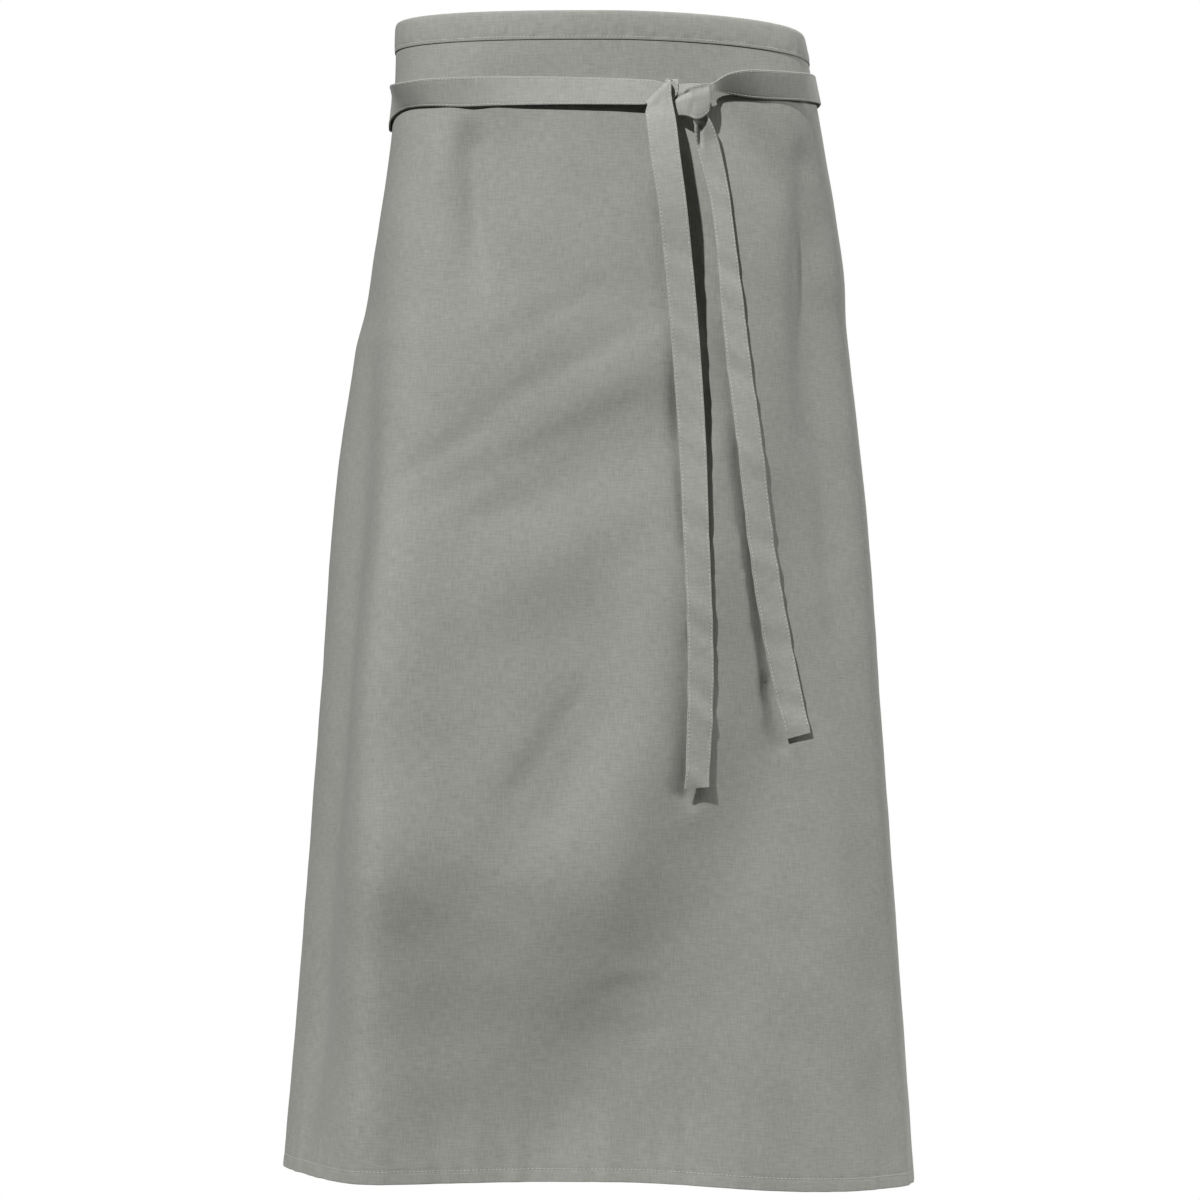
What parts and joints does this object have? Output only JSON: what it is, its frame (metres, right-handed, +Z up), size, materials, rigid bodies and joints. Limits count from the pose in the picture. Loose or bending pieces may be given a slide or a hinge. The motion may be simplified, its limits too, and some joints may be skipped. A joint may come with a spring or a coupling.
{
  "type": "waiter apron",
  "caption": "Long waist apron of sage grey cloth with a folded waistband, worn wrapped round the waist, its ties crossed behind and knotted in front with hanging tails.",
  "frame": {"origin": "middle of the wearer's waist, level with the waistband's top edge at the front", "axes": "+Z up along the wearer, the wearer faces -Y, +X to the viewer's right"},
  "size_m": [0.5567, 0.2742, 1.013],
  "materials": {
    "panel_cloth": "sage grey poly-cotton twill, matt",
    "band_cloth": "the same twill, folded double and topstitched",
    "tie_cloth": "the same twill, folded to a flat tape and edge-stitched"
  },
  "bodies": {
    "root": {"apron_panel": "panel_cloth", "waistband": "band_cloth", "left_tie": "tie_cloth", "right_tie": "tie_cloth"}
  },
  "joints": []
}
